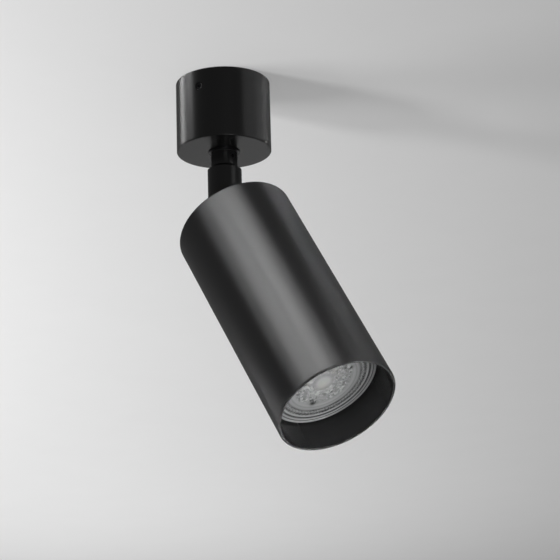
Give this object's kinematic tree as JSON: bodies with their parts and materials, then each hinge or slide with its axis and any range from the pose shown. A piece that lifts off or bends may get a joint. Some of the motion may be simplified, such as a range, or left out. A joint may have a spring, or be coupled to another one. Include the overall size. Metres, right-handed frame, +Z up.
{
  "type": "surface mounted ceiling spotlight",
  "caption": "Ceiling spotlight with a round canopy, a swivel stem, a tilting tubular head and a twist-lock reflector lamp.",
  "frame": {"origin": "centre of the canopy's mounting face, on the ceiling", "axes": "+Z up into the ceiling along the pan axis; the tilt axis is parallel to Y, 62 mm below the ceiling; the head leans 32 degrees from straight down towards +X"},
  "size_m": [0.1127, 0.055, 0.1845],
  "materials": {
    "black_finish": "satin black, very fine grain",
    "zinc_steel": "bright zinc plate",
    "black_steel": "blackened steel, slightly oily",
    "block_plastic": "off-white moulded",
    "brass": "machined",
    "black_nylon": "moulded",
    "live_insulation": "brown silicone",
    "neutral_insulation": "blue silicone",
    "earth_insulation": "green and yellow silicone",
    "lead_bundle": "silicone",
    "glass_sleeve": "varnished glass-fibre braid",
    "ceramic": "fired ceramic, matt",
    "lamp_housing": "satin",
    "lamp_clear": "clear moulded, ribbed and faceted",
    "lamp_plastic": "moulded",
    "lamp_board": "white solder mask",
    "driver_board": "green board",
    "led_phosphor": "phosphor in silicone",
    "nickel": "nickel plate"
  },
  "bodies": {
    "canopy": {"canopy_cup": "black_finish", "ceiling_bracket": "zinc_steel", "canopy_side_screws": "black_steel", "terminal_block": "block_plastic", "terminal_clamps": "brass", "terminal_screws": "zinc_steel", "terminal_fixing_screws": "zinc_steel", "swivel_nipple": "black_steel", "nipple_lock_nut": "zinc_steel", "nipple_tooth_washer": "zinc_steel", "swivel_washer": "black_nylon", "live_lead_upper": "live_insulation", "neutral_lead_upper": "neutral_insulation", "earth_lead_upper": "earth_insulation", "upper_lead_sleeve": "glass_sleeve"},
    "stem": {"stem_fork": "black_finish", "keeper_grub_screw": "black_steel", "tilt_friction_discs": "black_nylon", "knuckle_lead_sleeve": "glass_sleeve", "knuckle_leads": "lead_bundle"},
    "head": {"tilt_tongue": "black_finish", "pivot_screws": "black_steel", "head_tube": "black_finish", "end_cap": "black_finish", "holder_bracket": "zinc_steel", "spigot_tooth_washer": "zinc_steel", "spigot_nut": "zinc_steel", "head_earth_screw": "zinc_steel", "head_earth_terminal": "brass", "head_lead_sleeve": "glass_sleeve", "live_lead_lower": "live_insulation", "neutral_lead_lower": "neutral_insulation", "earth_lead_lower": "earth_insulation", "lampholder_body": "ceramic", "lampholder_cover": "ceramic", "lampholder_contacts": "brass", "lampholder_screws": "zinc_steel", "lampholder_nuts": "zinc_steel"},
    "lamp": {"lamp_shell": "lamp_housing", "lamp_lens": "lamp_clear", "lamp_led_board": "lamp_board", "lamp_led_chips": "led_phosphor", "lamp_base": "lamp_plastic", "lamp_pins": "nickel", "lamp_driver_board": "driver_board"}
  },
  "joints": [
    {"name": "pan", "type": "hinge", "parent": "canopy", "child": "stem", "pos_m": [0, 0, 0], "axis": [0, 0, 1], "range_deg": [-160, 160]},
    {"name": "tilt", "type": "hinge", "parent": "stem", "child": "head", "pos_m": [0, 0, -0.062], "axis": [0, -1, 0], "range_deg": [-32, 58], "deforming": ["knuckle_lead_sleeve", "knuckle_leads"]},
    {"name": "lamp_twist", "type": "hinge", "parent": "head", "child": "lamp", "pos_m": [0, 0, -0.062], "axis": [0.5299, 0, -0.848], "range_deg": [0, 45]}
  ]
}
